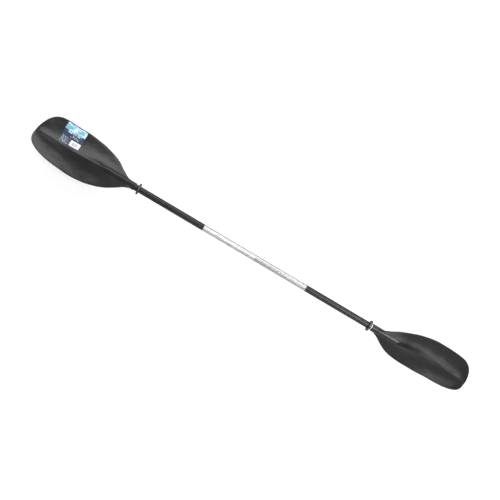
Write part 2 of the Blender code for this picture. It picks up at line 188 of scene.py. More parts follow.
def bridge(shape, one, other):
    """Faces between two rings of points, either of which may be a single point on the axis."""
    if len(one) == 1 and len(other) == 1:
        return
    count = max(len(one), len(other))
    for n in range(count):
        m = (n + 1) % count
        corners = [one[k % len(one)] for k in (n, m)] + [other[k % len(other)] for k in (m, n)]
        kept = [c for k, c in enumerate(corners) if c is not corners[k - 1]]
        shape.faces.new(kept)


def standing(x, angle, roll=0.0):
    """A placing that turns +X to point away from the shaft at x, at an angle from +Y towards +Z."""
    out = Matrix.Rotation(math.pi / 2, 4, "Z")
    return Matrix.Rotation(roll + angle, 4, "X") @ Matrix.Translation((x, 0, 0)) @ out


def bored(mesh, drills):
    """The mesh with its holes drilled.

    A known fault: the right blade's normals point inwards, and one or both of its drills are left in
    as pegs. How many differs from run to run.
    """
    if not drills:
        return mesh
    scene = bpy.context.scene.collection
    stock = bpy.data.objects.new("stock", mesh)
    scene.objects.link(stock)
    cutters = []
    start, end = DRILL_REACH
    for radius, place in drills:
        bit = lathe("bit", [(start, 0), (start, radius), (end, radius), (end, 0)], 48)
        bit.transform(place)
        cutter = bpy.data.objects.new("bit", bit)
        scene.objects.link(cutter)
        cutters.append(cutter)
        boolean = stock.modifiers.new("cut", "BOOLEAN")
        boolean.operation = "DIFFERENCE"
        boolean.solver = "EXACT"
        boolean.object = cutter
    bpy.context.view_layer.update()
    evaluated = stock.evaluated_get(bpy.context.evaluated_depsgraph_get())
    made = bpy.data.meshes.new_from_object(evaluated)
    for obj in [stock, *cutters]:
        bpy.data.objects.remove(obj, do_unlink=True)
    made.shade_smooth()
    made.set_sharp_from_angle(angle=SMOOTH_ANGLE)
    return made


def rivet_holes(places):
    """The drills for rivets at these places along X, on the shaft's far side."""
    return [(RIVET_SHANK_R + GAP, standing(x, BACK)) for x in places]


def outwards(side, roll):
    """A placing that turns a piece drawn along +X to run towards a blade, and rolls it."""
    return Matrix.Rotation(roll, 4, "X") @ Matrix.Rotation(0 if side > 0 else math.pi, 4, "Z")


def add_piece(name, mesh, place, body, surface, *nodes):
    """A finished piece, moved to its place, that stands for CAD nodes and rides with a body."""
    mesh.transform(place)
    mesh.name = name
    mesh.materials.clear()
    mesh.materials.append(surface)
    obj = bpy.data.objects.new(name, mesh)
    bpy.context.scene.collection.objects.link(obj)
    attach(obj, body)
    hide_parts(*nodes)
    return obj


# Blade shape: x is the distance from the middle of the paddle, y is across, z is out of the face


def smooth_curve(points, x):
    """A smooth curve through points, with slopes that keep it from overshooting."""
    px, py = (np.array(values) for values in zip(*points))
    width = np.diff(px)
    slope = np.diff(py) / width
    tangent = np.zeros(len(px))
    tangent[0], tangent[-1] = slope[0], slope[-1]
    for n in range(1, len(px) - 1):
        if slope[n - 1] * slope[n] > 0:
            tangent[n] = 2 * slope[n - 1] * slope[n] / (slope[n - 1] + slope[n])
    at = np.clip(np.asarray(x, float), px[0], px[-1])
    n = np.clip(np.searchsorted(px, at, side="right") - 1, 0, len(width) - 1)
    t = (at - px[n]) / width[n]
    return (
        py[n] * (1 + 2 * t) * (1 - t) ** 2
        + py[n + 1] * t**2 * (3 - 2 * t)
        + width[n] * t * (1 - t) * (tangent[n] * (1 - t) - tangent[n + 1] * t)
    )


UPPER_EDGE = (
    (0.607, 0.0172), (0.640, 0.0175), (0.682, 0.0375), (0.720, 0.0645), (0.760, 0.0830),
    (0.820, 0.1020), (0.900, 0.1130), (0.980, 0.1135), (1.100, 0.1170),
)
LOWER_EDGE = (
    (0.607, 0.0172), (0.624, 0.0200), (0.648, 0.0300), (0.682, 0.0540), (0.720, 0.0770),
    (0.760, 0.0920), (0.820, 0.1040), (0.880, 0.1070), (0.950, 0.1020), (1.100, 0.0915),
)
EDGE_LEVEL = (
    (0.607, 0.0), (0.655, 0.0050), (0.720, 0.0030), (0.760, -0.0010), (0.805, -0.0070),
    (0.870, -0.0125), (0.930, -0.0120), (1.000, -0.0055), (1.100, 0.0090),
)
RIDGE_HEIGHT = (
    (0.607, 0.0), (0.700, 0.0040), (0.760, 0.0110), (0.800, 0.0130), (0.850, 0.0125),
    (0.900, 0.0105), (0.950, 0.0080), (1.050, 0.0055), (1.080, 0.0035), (1.100, 0.0010),
)
RIDGE_WIDTH = (
    (0.607, 0.020), (0.780, 0.026), (0.870, 0.036), (0.950, 0.030), (1.050, 0.022), (1.100, 0.020),
)
BACK_FOLLOWS = ((0.607, 0.0), (0.780, 0.25), (0.860, 0.65), (0.950, 0.85), (1.100, 1.0))
CUP = (
    (0.607, 0.0), (0.700, 0.0), (0.800, 0.0040), (1.000, 0.0085), (1.060, 0.0085), (1.100, 0.0040),
)
SOCKET_HALF_WIDTH = (
    (0.607, 0.0172), (0.735, 0.0165), (0.765, 0.0130), (0.800, 0.0085), (0.840, 0.0050),
)
SOCKET_HALF_HEIGHT = (
    (0.607, 0.0172), (0.735, 0.0165), (0.765, 0.0120), (0.800, 0.0060), (0.840, 0.0010),
)
SOCKET_LEVEL = ((0.607, 0.0), (0.735, 0.0), (0.765, -0.0015), (0.800, -0.0060), (0.840, -0.0110))
MIDDLE_BAND = ((0.607, 0.0190), (0.760, 0.0200), (0.850, 0.0420), (1.100, 0.0420))
RIDGE_ROUNDING = 0.006
FILLET = 0.004
RIM_POWER = 12
TIP_RIM_POWER = 24
SOCKET_SIDE_SLOPE = 2.5
NECK_END = 0.750
LAST_SECTION = HALF_LENGTH - 0.0003


def corner(x, powers):
    """How much of the full width is left on the way round a corner at the tip."""
    q = np.clip((np.asarray(x) - CORNER_START) / (HALF_LENGTH - CORNER_START), 0, 1)
    return (1 - q ** powers[0]) ** (1 / powers[1])


def upper_edge(x):
    """The blade's edge on its +Y side, which rounds into the tip's point at TIP_Y."""
    return TIP_Y + (smooth_curve(UPPER_EDGE, x) - TIP_Y) * corner(x, UPPER_CORNER)


def lower_edge(x):
    """The blade's edge on its -Y side."""
    return TIP_Y - (smooth_curve(LOWER_EDGE, x) + TIP_Y) * corner(x, LOWER_CORNER)


def across(x, y):
    """Where y lies between the shaft's line and an edge, from 0 to 1.

    A known fault: in the tip's last few millimetres the whole section lies on one side of the
    shaft's line, so its upper rim gets less than 1. The rim steps down, which leaves a nib there.
    """
    edge = np.where(y >= 0, upper_edge(x), -lower_edge(x))
    return np.clip(np.abs(y) / np.maximum(edge, 1e-6), 0, 1)


def rim_share(x, y):
    """The share of the full thickness, which falls to 0 at the rim."""
    middle = (upper_edge(x) + lower_edge(x)) / 2
    half = np.maximum((upper_edge(x) - lower_edge(x)) / 2, 1e-6)
    v = np.clip(np.abs(y - middle) / half, 0, 1)
    s = np.clip((x - MOUTH) / (HALF_LENGTH - MOUTH), 0, 1)
    return np.sqrt(1 - v**RIM_POWER) * np.sqrt(1 - s**TIP_RIM_POWER)


def smooth_max(a, b, k):
    """The larger of two heights, blended over a distance of k where they meet."""
    h = np.maximum(k - np.abs(a - b), 0) / np.maximum(k, 1e-9)
    return np.maximum(a, b) + h * h * k / 4


def faces_of_blade(x, y):
    """The heights of the power face and of the back over a point of the blade."""
    v = across(x, y)
    cup = smooth_curve(CUP, x)
    valley = smooth_curve(EDGE_LEVEL, x) - cup * (1 - v**2)
    away = np.sqrt(y**2 + RIDGE_ROUNDING**2) - RIDGE_ROUNDING
    fade = 1 - v**4
    ridge = smooth_curve(RIDGE_HEIGHT, x) * np.exp(-away / smooth_curve(RIDGE_WIDTH, x)) * fade
    half = BLADE_T / 2 * rim_share(x, y)
    front = valley + ridge + half
    back = valley + ridge * smooth_curve(BACK_FOLLOWS, x) - half
    wide = smooth_curve(SOCKET_HALF_WIDTH, x)
    inside = np.sqrt(np.clip(1 - (y / wide) ** 2, 0, 1)) * smooth_curve(SOCKET_HALF_HEIGHT, x)
    outside = np.maximum(np.abs(y) - wide, 0) * SOCKET_SIDE_SLOPE
    bulge = inside - outside
    level = smooth_curve(SOCKET_LEVEL, x)
    fillet = FILLET * (1 - v**6)
    return smooth_max(front, level + bulge, fillet), -smooth_max(-back, -(level - bulge), fillet)


def stations(along_neck, along_face, round_tip):
    """Places of the cross-sections, closer together at the neck and round the tip."""
    neck = np.linspace(MOUTH, NECK_END, along_neck, endpoint=False)
    face = np.linspace(NECK_END, CORNER_START, along_face, endpoint=False)
    turn = np.sin(np.linspace(0, math.pi / 2, round_tip))
    tip = CORNER_START + (HALF_LENGTH - CORNER_START) * turn
    tip[-1] = LAST_SECTION
    return np.concatenate([neck, face, tip])


def across_samples(x, to_edge, middle):
    """Places across a section, from the upper edge to the lower, closest at the edges."""
    up, low = float(upper_edge(x)), float(lower_edge(x))
    band = float(smooth_curve(MIDDLE_BAND, x))
    top = min(band, low + 0.8 * (up - low))
    bottom = max(-band, low + 0.2 * (up - low))
    ease = np.sin(np.linspace(0, math.pi / 2, to_edge + 1))
    return np.concatenate([
        (top + (up - top) * ease)[::-1],
        np.linspace(top, bottom, middle + 1)[1:-1],
        bottom + (low - bottom) * ease,
    ])


def blade_section(x, to_edge=22, middle=44):
    """The points of one cross-section, round from the upper edge over the face and back below."""
    y = across_samples(x, to_edge, middle)
    front, back = faces_of_blade(np.full(len(y), x), y)
    front[[0, -1]] = (front[[0, -1]] + back[[0, -1]]) / 2
    top = [(x, a, b) for a, b in zip(y, front)]
    under = [(x, a, b) for a, b in zip(y[1:-1], back[1:-1])]
    return top + under[::-1]


def blade_mesh(side):
    """A loft from the bottom of the socket's bore, out over its mouth, to the tip."""
    lip = 0.0005
    mouth = blade_section(MOUTH)
    turns = [math.atan2(z, y) for _, y, z in mouth]

    def circle(x, radius):
        return [(x, radius * math.cos(a), radius * math.sin(a)) for a in turns]

    sections = [
        circle(SOCKET_BORE_END, SOCKET_BORE_R),
        circle(MOUTH + lip, SOCKET_BORE_R),
        circle(MOUTH, SOCKET_BORE_R + lip),
        circle(MOUTH, SOCKET_R - lip),
    ]
    places = stations(along_neck=52, along_face=60, round_tip=40)
    places[0] += lip
    sections += [blade_section(x) for x in places]
    shape = bmesh.new()
    rings = [[shape.verts.new((side * x, y, z)) for x, y, z in section] for section in sections]
    for one, other in zip(rings, rings[1:]):
        bridge(shape, one, other)
    shape.faces.new(rings[0])
    shape.faces.new(rings[-1])
    return from_bmesh("blade", shape)


def label_mesh():
    """A thin film that follows the left blade's power face, with rounded corners."""
    middle = [(a + b) / 2 for a, b in (LABEL_X, LABEL_Y)]
    half = [(b - a) / 2 for a, b in (LABEL_X, LABEL_Y)]

    def onto_face(u, v, lift):
        """Maps a square's u and v, from -1 to 1, onto the label, pulling its corners in."""
        pull = LABEL_CORNER * 0.3 * max(abs(u) + abs(v) - 1.9, 0) / 0.1
        x = middle[0] + u * (half[0] - pull)
        y = middle[1] + v * (half[1] - pull)
        front, _ = faces_of_blade(np.array([x]), np.array([y]))
        return (-x, y, float(front[0]) + lift)

    steps = 48
    shape = bmesh.new()
    spread = [2 * n / steps - 1 for n in range(steps + 1)]
    layers = [
        [[shape.verts.new(onto_face(u, v, lift)) for v in spread] for u in spread]
        for lift in (GAP, GAP + LABEL_T)
    ]
    for grid in layers:
        for i in range(steps):
            for j in range(steps):
                shape.faces.new((grid[i][j], grid[i][j + 1], grid[i + 1][j + 1], grid[i + 1][j]))
    around = [(i, 0) for i in range(steps)] + [(steps, j) for j in range(steps)]
    around += [(i, steps) for i in range(steps, 0, -1)] + [(0, j) for j in range(steps, 0, -1)]
    for (a, b), (c, d) in zip(around, around[1:] + around[:1]):
        low, high = layers
        shape.faces.new((low[a][b], low[c][d], high[c][d], high[a][b]))
    return from_bmesh("label", shape)


# Materials


def add_node(tree, kind, inputs=None, **settings):
    """A shader node. An input's value may be another node's output socket."""
    made = tree.nodes.new(kind)
    for key, value in settings.items():
        setattr(made, key, value)
    for key, value in (inputs or {}).items():
        if isinstance(value, bpy.types.NodeSocket):
            tree.links.new(value, made.inputs[key])
        else:
            made.inputs[key].default_value = value
    return made


def noise(tree, stretch, detail=3.0, roughness=0.55, distortion=0.0):
    """Noise in the piece's own coordinates, with stretch cycles a metre along X, Y and Z."""
    place = add_node(tree, "ShaderNodeTexCoord").outputs["Object"]
    mapped = add_node(tree, "ShaderNodeMapping", {"Vector": place, "Scale": stretch})
    return add_node(
        tree, "ShaderNodeTexNoise",
        {"Vector": mapped.outputs[0], "Scale": 1.0, "Detail": detail, "Roughness": roughness,
         "Distortion": distortion},
    ).outputs["Fac"]


def calculated(tree, operation, one, other):
    """One arithmetic operation on two values, each a number or a socket."""
    return add_node(tree, "ShaderNodeMath", {0: one, 1: other}, operation=operation).outputs[0]


def between(tree, value, low, high, start=0.0, end=1.0):
    """Maps low..high to start..end, and stays within them."""
    return add_node(
        tree, "ShaderNodeMapRange",
        {"Value": value, "From Min": low, "From Max": high, "To Min": start, "To Max": end},
    ).outputs[0]


def mixed(tree, factor, one, other):
    """Two colours mixed by a factor. A colour is three numbers or a socket."""
    mix = add_node(tree, "ShaderNodeMix", data_type="RGBA")
    sockets = {"A": mix.inputs[6], "B": mix.inputs[7]}
    tree.links.new(factor, mix.inputs[0])
    for socket, colour in zip(sockets.values(), (one, other)):
        if isinstance(colour, bpy.types.NodeSocket):
            tree.links.new(colour, socket)
        else:
            socket.default_value = (*colour, 1.0)
    return mix.outputs[2]


def bump(tree, shader, *layers):
    """Bump from (height, depth in metres) layers, one over the other."""
    under = None
    for height, depth in layers:
        inputs = {"Height": height, "Strength": 1.0, "Distance": depth}
        if under:
            inputs["Normal"] = under
        under = add_node(tree, "ShaderNodeBump", inputs).outputs["Normal"]
    tree.links.new(under, shader.inputs["Normal"])


def new_material(name, slot, metallic=0.0, specular=0.5):
    """A material, its node tree and its shader. It keeps the record's slot as a property."""
    made = bpy.data.materials.new(name)
    made.use_nodes = True
    made["record_slot"] = slot
    shader = made.node_tree.nodes["Principled BSDF"]
    shader.inputs["Metallic"].default_value = metallic
    shader.inputs["Specular IOR Level"].default_value = specular
    return made, made.node_tree, shader


def blade_plastic():
    """Moulded black plastic: faint flow marks, a fine grain, light scuffs."""
    made, tree, shader = new_material("blade_plastic", "blade_plastic", specular=0.13)
    cloud = noise(tree, (9, 14, 14), 4, 0.6, 0.6)
    flow = noise(tree, (6, 60, 60), 3)
    scuff = between(tree, noise(tree, (25, 420, 420), 2, 0.7, 0.3), 0.66, 0.74)
    patches = between(tree, cloud, 0.35, 0.65)
    base = mixed(tree, patches, (0.0085, 0.0087, 0.0090), (0.0110, 0.0112, 0.0115))
    base = mixed(tree, between(tree, flow, 0.4, 0.75, 0.0, 0.35), base, (0.0140, 0.0142, 0.0146))
    base = mixed(tree, between(tree, scuff, 0, 1, 0.0, 0.12), base, (0.060, 0.060, 0.061))
    tree.links.new(base, shader.inputs["Base Color"])
    tree.links.new(between(tree, cloud, 0.3, 0.7, 0.22, 0.26), shader.inputs["Roughness"])
    grain = noise(tree, (1500, 1500, 1500), 2)
    waves = noise(tree, (22, 30, 30), 2)
    bump(tree, shader, (waves, 0.0012), (grain, 0.00006))
    return made


def shaft_aluminium():
    """Satin anodised tube, with fine lines drawn along it."""
    made, tree, shader = new_material("shaft_aluminium", "shaft_aluminium", metallic=1.0)
    lines = noise(tree, (3, 1400, 1400), 3, 0.7)
    patch = noise(tree, (14, 60, 60), 3)
    base = mixed(tree, between(tree, lines, 0.3, 0.7), (0.262, 0.262, 0.264), (0.276, 0.276, 0.278))
    tree.links.new(base, shader.inputs["Base Color"])
    tree.links.new(between(tree, patch, 0.3, 0.7, 0.51, 0.53), shader.inputs["Roughness"])
    bump(tree, shader, (lines, 0.00002))
    return made


def grip_sleeve():
    """Matt shrunk-on sleeve, with faint lengthwise lines."""
    made, tree, shader = new_material("grip_sleeve", "grip_sleeve", specular=0.19)
    cloud = noise(tree, (18, 40, 40), 4)
    lines = noise(tree, (5, 700, 700), 2)
    patches = between(tree, cloud, 0.35, 0.65)
    base = mixed(tree, patches, (0.0032, 0.0033, 0.0036), (0.0046, 0.0047, 0.0050))
    tree.links.new(base, shader.inputs["Base Color"])
    tree.links.new(between(tree, cloud, 0.3, 0.7, 0.27, 0.33), shader.inputs["Roughness"])
    grain = noise(tree, (2200, 2200, 2200), 1)
    bump(tree, shader, (lines, 0.00006), (grain, 0.00005))
    return made


def ring_rubber():
    """Dull black rubber with a mould's fine texture."""
    made, tree, shader = new_material("ring_rubber", "ring_rubber", specular=0.40)
    cloud = noise(tree, (120, 120, 120), 3)
    patches = between(tree, cloud, 0.35, 0.65)
    base = mixed(tree, patches, (0.006, 0.006, 0.0063), (0.009, 0.009, 0.0093))
    tree.links.new(base, shader.inputs["Base Color"])
    tree.links.new(between(tree, cloud, 0.3, 0.7, 0.34, 0.44), shader.inputs["Roughness"])
    bump(tree, shader, (noise(tree, (1800, 1800, 1800), 2), 0.00008))
    return made


def ferrule_nylon():
    """Glass-filled nylon: dark, with pale flecks."""
    made, tree, shader = new_material("ferrule_nylon", "ferrule_nylon")
    fleck = between(tree, noise(tree, (500, 1600, 1600), 2, 0.7), 0.60, 0.70, 0.0, 0.35)
    base = mixed(tree, fleck, (0.022, 0.022, 0.024), (0.11, 0.11, 0.115))
    tree.links.new(base, shader.inputs["Base Color"])
    cloud = noise(tree, (60, 90, 90), 3)
    tree.links.new(between(tree, cloud, 0.3, 0.7, 0.40, 0.52), shader.inputs["Roughness"])
    bump(tree, shader, (noise(tree, (900, 900, 900), 2), 0.00004))
    return made


def rivet_aluminium():
    """Bare aluminium, pressed into shape, slightly dulled."""
    made, tree, shader = new_material("rivet_aluminium", "rivet_aluminium", metallic=1.0)
    cloud = noise(tree, (700, 700, 700), 4, 0.65)
    base = mixed(tree, between(tree, cloud, 0.3, 0.7), (0.52, 0.52, 0.53), (0.70, 0.70, 0.71))
    tree.links.new(base, shader.inputs["Base Color"])
    tree.links.new(between(tree, cloud, 0.3, 0.7, 0.28, 0.45), shader.inputs["Roughness"])
    bump(tree, shader, (cloud, 0.00003))
    return made


def spring_steel():
    """Rolled stainless strip, brushed along its length."""
    made, tree, shader = new_material("spring_steel", "spring_steel", metallic=1.0)
    lines = noise(tree, (30, 2600, 2600), 3, 0.7)
    base = mixed(tree, between(tree, lines, 0.3, 0.7), (0.50, 0.50, 0.51), (0.66, 0.66, 0.67))
    tree.links.new(base, shader.inputs["Base Color"])
    tree.links.new(between(tree, lines, 0.3, 0.7, 0.20, 0.36), shader.inputs["Roughness"])
    bump(tree, shader, (lines, 0.00002))
    return made


def foam():
    """Closed-cell foam: pale, dull and pitted, with painted shade darkening its pits."""
    made, tree, shader = new_material("foam", "foam", specular=0.2)
    place = add_node(tree, "ShaderNodeTexCoord").outputs["Object"]
    pits = add_node(tree, "ShaderNodeTexVoronoi", {"Vector": place, "Scale": 900.0})
    cells = pits.outputs["Distance"]
    # Painted shade: the colour is darker down in the pits, where the bump is lowest.
    base = mixed(tree, between(tree, cells, 0.1, 0.6), (0.52, 0.52, 0.50), (0.72, 0.72, 0.70))
    tree.links.new(base, shader.inputs["Base Color"])
    tree.links.new(between(tree, cells, 0.0, 0.6, 0.98, 0.85), shader.inputs["Roughness"])
    bump(tree, shader, (cells, 0.0004))
    return made


def inside_box(tree, place, x_range, y_range, soft=0.0003):
    """1 inside a rectangle of the piece's own X and Y, 0 outside, with a soft edge."""
    value = None
    for axis, (low, high) in (("X", x_range), ("Y", y_range)):
        along = place.outputs[axis]
        for edge, side in ((low, 1), (high, -1)):
            step = between(tree, along, edge - side * soft, edge + side * soft)
            if value is None:
                value = step
            else:
                value = calculated(tree, "MULTIPLY", value, step)
    return value


def label_film():
    """Printed film: a pale sky band over dark blue, plain pale marks and a white panel."""
    made, tree, shader = new_material("label_film", "label_film", specular=0.20)
    coords = add_node(tree, "ShaderNodeTexCoord").outputs["Object"]
    place = add_node(tree, "ShaderNodeSeparateXYZ", {"Vector": coords})
    left, right = -LABEL_X[1], -LABEL_X[0]
    rise = between(tree, place.outputs["Y"], 0.02, 0.075)
    navy = mixed(tree, rise, (0.006, 0.008, 0.022), (0.011, 0.020, 0.042))
    cloud = noise(tree, (38, 60, 60), 3, 0.6, 0.4)
    glow = between(tree, cloud, 0.42, 0.62)
    sky = mixed(tree, glow, (0.070, 0.205, 0.285), (0.330, 0.400, 0.410))
    past = 0.01
    in_band = inside_box(
        tree, place, (left - past, right + past), (LABEL_BAND_LOW, LABEL_Y[1] + past)
    )
    colour = mixed(tree, in_band, navy, sky)

    def speckled(x_range, y_range, cycles, paint, threshold):
        """Plain marks, too small and irregular to be letters."""
        nonlocal colour
        marks = between(tree, noise(tree, cycles, 1, 0.5), threshold, threshold + 0.03)
        area = inside_box(tree, place, x_range, y_range, 0.0008)
        colour = mixed(tree, calculated(tree, "MULTIPLY", marks, area), colour, paint)

    pale = (0.36, 0.43, 0.50)
    speckled((left + 0.018, right - 0.012), (0.0665, 0.0755), (260, 150, 1), pale, 0.50)
    speckled((left + 0.040, right - 0.018), (0.0520, 0.0610), (300, 180, 1), pale, 0.54)
    speckled((left + 0.006, left + 0.042), (0.0130, 0.0440), (280, 220, 1), pale, 0.60)
    panel = inside_box(tree, place, *LABEL_PANEL, 0.0006)
    colour = mixed(tree, panel, colour, (0.39, 0.39, 0.41))
    speckled((-0.938, -0.911), (0.020, 0.036), (330, 300, 1), (0.12, 0.125, 0.135), 0.46)
    tree.links.new(colour, shader.inputs["Base Color"])
    tree.links.new(between(tree, cloud, 0.3, 0.7, 0.30, 0.36), shader.inputs["Roughness"])
    bump(tree, shader, (noise(tree, (160, 160, 160), 2), 0.00008))
    return made


# Pieces


def rivet_outline(seat, tail):
    """A blind rivet's section: a domed head with its broken pin, a shank and a set tail."""
    head = seat + RIVET_HEAD_H
    tail_r = RIVET_SHANK_R + 0.0009
    return [
        (head - 0.00025, 0.0),
        (head - 0.00025, 0.0008),
        (head, 0.0010),
        (head * 0.98 + seat * 0.02, 0.0014),
        (seat + RIVET_HEAD_H * 0.80, 0.0023),
        (seat + RIVET_HEAD_H * 0.50, 0.0030),
        (seat + RIVET_HEAD_H * 0.22, RIVET_HEAD_R),
        (seat + RIVET_HEAD_H * 0.05, RIVET_HEAD_R),
        (seat, RIVET_HEAD_R - 0.0002),
        (seat, RIVET_SHANK_R),
        (tail, RIVET_SHANK_R),
        (tail - 0.0004, tail_r),
        (tail - 0.0011, tail_r + 0.0001),
        (tail - 0.0018, tail_r),
        (tail - 0.0026, RIVET_SHANK_R),
        (tail - 0.0030, 0.0008),
        (tail - 0.0030, 0.0),
    ]


def add_rivet(name, node, x, seat, tail, roll, body, surface):
    mesh = lathe(name, rivet_outline(seat, tail), 40)
    add_piece(name, mesh, standing(x, BACK, roll), body, surface, node)


def tube_outline(start, end, inner, outer, edge):
    """A tube's section, with its four edges rounded."""
    return rounded([(end, outer), (start, outer), (start, inner), (end, inner)], edge, 3)


def add_tube(hand, side, roll, surface):
    """A half's tube. The right one has three button holes, one for each feather setting."""
    mesh = lathe("tube", tube_outline(GAP / 2, TUBE_END, TUBE_BORE_R, TUBE_R, 0.0004), 128)
    mesh.transform(Matrix.Scale(side, 4, (1, 0, 0)))
    if side < 0:
        mesh.flip_normals()
    drills = rivet_holes(side * x for x in BLADE_RIVETS_X)
    if side > 0:
        turns = [BACK + n * FEATHER for n in (-1, 0, 1)]
        drills += [(BUTTON_HOLE_R, standing(BUTTON_X, turn)) for turn in turns]
    else:
        drills += rivet_holes(FERRULE_RIVETS_X)
    name = f"{hand}_shaft_tube"
    place = Matrix.Rotation(roll, 4, "X")
    add_piece(f"{hand}_tube", bored(mesh, drills), place, f"{hand}_half", surface, name)


def add_grip(hand, side, roll, surface):
    """The sleeve, with thinner ends where it has shrunk on to the tube."""
    lead = 0.004
    outer = GRIP_OUTER[hand]
    outline = [
        (outer, TUBE_R + GAP),
        (outer, GRIP_R - 0.0002),
        (outer - 0.0003, GRIP_R - 0.00005),
        (outer - lead, GRIP_R),
        (GRIP_INNER + lead, GRIP_R),
        (GRIP_INNER + 0.0003, GRIP_R - 0.00005),
        (GRIP_INNER, GRIP_R - 0.0002),
        (GRIP_INNER, TUBE_R + GAP),
    ]
    mesh = lathe("grip", outline, 128)
    place = outwards(side, roll)
    add_piece(f"{hand}_grip_sleeve", mesh, place, f"{hand}_half", surface, f"{hand}_grip")


def ring_outline():
    """A drip ring's section: one thick flange, a little wider at its foot."""
    half = [
        (0.0055, 0.0100, 0), (0.0055, 0.0178, 0.0006), (0.0051, 0.0192, 0.0012),
        (0.0049, 0.0240, 0.0010), (0.0034, RING_R, 0.0020),
    ]
    return rounded(half + [(-along, out, soft) for along, out, soft in reversed(half)], 0.0008)


def add_ring(hand, side, surface):
    """The ring, cocked a little on the shaft, with a bore that follows the shaft."""
    axis = Vector((0, -math.sin(VIEW_ROLL), math.cos(VIEW_ROLL)))
    mesh = lathe("ring", ring_outline(), 96)
    mesh.transform(Matrix.Rotation(side * -RING_COCK[hand], 4, axis))
    centred = Matrix.Translation((-sum(DRILL_REACH) / 2, 0, 0))
    mesh = bored(mesh, [(RING_BORE_R, centred)])
    place = Matrix.Translation((side * RING_X[hand], 0, 0))
    add_piece(f"{hand}_ring", mesh, place, f"{hand}_ring", surface, f"{hand}_drip_ring")


def add_foam(name, node, ends, side, roll, body, surface):
    """A plug of foam inside a tube."""
    start, end = ends
    outline = rounded([(end, 0), (end, FOAM_R), (start, FOAM_R), (start, 0)], 0.0012)
    add_piece(name, lathe(name, outline, 64), outwards(side, roll), body, surface, node)


def add_half(hand, side, surfaces):
    """One blade, its tube and what is fixed to them."""
    roll = FEATHER if side > 0 else 0.0
    place = Matrix.Rotation(roll, 4, "X")
    body = f"{hand}_half"
    drills = rivet_holes(side * x for x in BLADE_RIVETS_X)
    blade = bored(blade_mesh(side), drills)
    add_piece(f"{hand}_paddle_blade", blade, place, body, surfaces["blade"], f"{hand}_blade")
    add_tube(hand, side, roll, surfaces["aluminium"])
    add_grip(hand, side, roll, surfaces["grip"])
    add_ring(hand, side, surfaces["rubber"])
    for n, x in enumerate(BLADE_RIVETS_X, 1):
        add_rivet(
            f"{hand}_rivet_{n}", f"{hand}_blade_rivet_{n}", side * x, SOCKET_R + 2 * GAP,
            TUBE_BORE_R - GAP, roll, body, surfaces["rivet"],
        )
    add_foam(f"{hand}_end_foam", f"{hand}_end_plug", END_PLUG, side, roll, body, surfaces["foam"])
    bung = RIGHT_BUNG if side > 0 else LEFT_BUNG
    add_foam(f"{hand}_inner_foam", f"{hand}_bung", bung, side, roll, body, surfaces["foam"])


def add_ferrule(surface):
    """The inner tube of the centre joint, with a groove for its seal."""
    groove = SEAL_WIRE_R + GAP
    bottom = FERRULE_R - 2 * SEAL_WIRE_R - 0.0002
    outline = rounded(
        [
            (FERRULE_RIGHT, FERRULE_R, 0.0008), (SEAL_X + groove, FERRULE_R, 0.0002),
            (SEAL_X + groove, bottom, 0.0002), (SEAL_X - groove, bottom, 0.0002),
            (SEAL_X - groove, FERRULE_R, 0.0002), (FERRULE_LEFT, FERRULE_R, 0.0008),
            (FERRULE_LEFT, FERRULE_BORE_R, 0.0003), (FERRULE_RIGHT, FERRULE_BORE_R, 0.0003),
        ],
        0.0003, 3,
    )
    drills = [(BUTTON_HOLE_R, standing(BUTTON_X, BACK))]
    drills += rivet_holes(FERRULE_RIVETS_X)
    mesh = bored(lathe("ferrule", outline, 112), drills)
    add_piece("ferrule_tube", mesh, Matrix(), "left_half", surface, "ferrule_sleeve")


def add_end_cap(surface):
    """The tapered nose that closes the ferrule's free end."""
    face = FERRULE_RIGHT + GAP
    start = FERRULE_RIGHT - 0.010
    stem = FERRULE_BORE_R - GAP
    outline = rounded(
        [
            (face + 0.0090, 0, 0), (face + 0.0090, 0.0088, 0.0022), (face + 0.0010, 0.0122, 0.0006),
            (face, 0.0122, 0.0003), (face, stem, 0.0001), (start, stem, 0.001), (start, 0, 0),
        ],
        0.0005, 6,
    )
    mesh = lathe("nose", outline, 96)
    add_piece("ferrule_nose", mesh, Matrix(), "left_half", surface, "ferrule_end_cap")


def add_seal(surface):
    """The O-ring in the ferrule's groove."""
    middle_r = TUBE_BORE_R - 0.0002 - SEAL_WIRE_R
    turns = [2 * math.pi * n / 20 for n in range(20)]
    outline = [
        (SEAL_X + SEAL_WIRE_R * math.sin(a), middle_r + SEAL_WIRE_R * math.cos(a)) for a in turns
    ]
    add_piece("seal_ring", lathe("seal", outline, 128), Matrix(), "seal", surface, "ferrule_o_ring")


def add_button(surface):
    """The sprung button: a dome over a flange that stays inside the ferrule."""
    flange = FERRULE_BORE_R - 2 * GAP
    dome = [
        (BUTTON_TIP_R - 0.0024 * (1 - math.cos(a)), BUTTON_R * math.sin(a))
        for a in (math.pi / 2 * n / 10 for n in range(11))
    ]
    outline = dome + [
        (flange, BUTTON_R),
        (flange - 0.0002, 0.0037),
        (flange - 0.0004, 0.0039),
        (flange - 0.0010, 0.0039),
        (flange - 0.0012, 0.0037),
        (flange - 0.0012, 0.0),
    ]
    mesh = lathe("button", outline, 64)
    add_piece("lock_button", mesh, standing(BUTTON_X, BACK), "button", surface, "snap_button")


